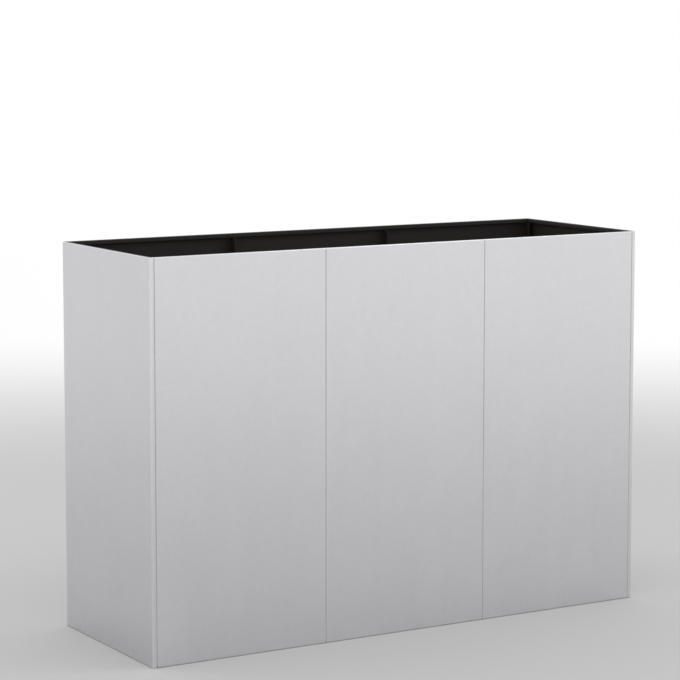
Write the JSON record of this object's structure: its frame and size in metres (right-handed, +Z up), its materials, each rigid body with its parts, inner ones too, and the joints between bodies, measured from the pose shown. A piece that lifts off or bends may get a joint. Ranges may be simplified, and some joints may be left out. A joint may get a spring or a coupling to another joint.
{
  "type": "rectangular planter",
  "caption": "Tall rectangular trough planter of folded galvanised sheet panels, open at the top, with bolted upright seams and a drained floor.",
  "frame": {"origin": "middle of the footprint, on the ground", "axes": "+X to the right along the long front, +Y from the front towards the back, +Z up"},
  "size_m": [1.16, 0.4, 0.8],
  "materials": {
    "galvanised_wall": "satin galvanised",
    "galvanised_floor": "satin galvanised",
    "galvanised_tie": "satin galvanised",
    "plated_fasteners": "bright zinc plate"
  },
  "bodies": {
    "root": {"cross_tie_left": "galvanised_tie", "cross_tie_right": "galvanised_tie", "floor_tray_left": "galvanised_floor", "floor_tray_middle": "galvanised_floor", "floor_tray_right": "galvanised_floor", "front_corner_left_bolts": "plated_fasteners", "front_corner_left_nuts": "plated_fasteners", "front_corner_right_bolts": "plated_fasteners", "front_corner_right_nuts": "plated_fasteners", "front_panel_left": "galvanised_wall", "front_panel_middle": "galvanised_wall", "front_panel_right": "galvanised_wall", "front_seam_left_bolts": "plated_fasteners", "front_seam_left_nuts": "plated_fasteners", "front_seam_right_bolts": "plated_fasteners", "front_seam_right_nuts": "plated_fasteners", "rear_corner_left_bolts": "plated_fasteners", "rear_corner_left_nuts": "plated_fasteners", "rear_corner_right_bolts": "plated_fasteners", "rear_corner_right_nuts": "plated_fasteners", "rear_panel_left": "galvanised_wall", "rear_panel_middle": "galvanised_wall", "rear_panel_right": "galvanised_wall", "rear_seam_left_bolts": "plated_fasteners", "rear_seam_left_nuts": "plated_fasteners", "rear_seam_right_bolts": "plated_fasteners", "rear_seam_right_nuts": "plated_fasteners", "side_panel_left": "galvanised_wall", "side_panel_right": "galvanised_wall"}
  },
  "joints": []
}
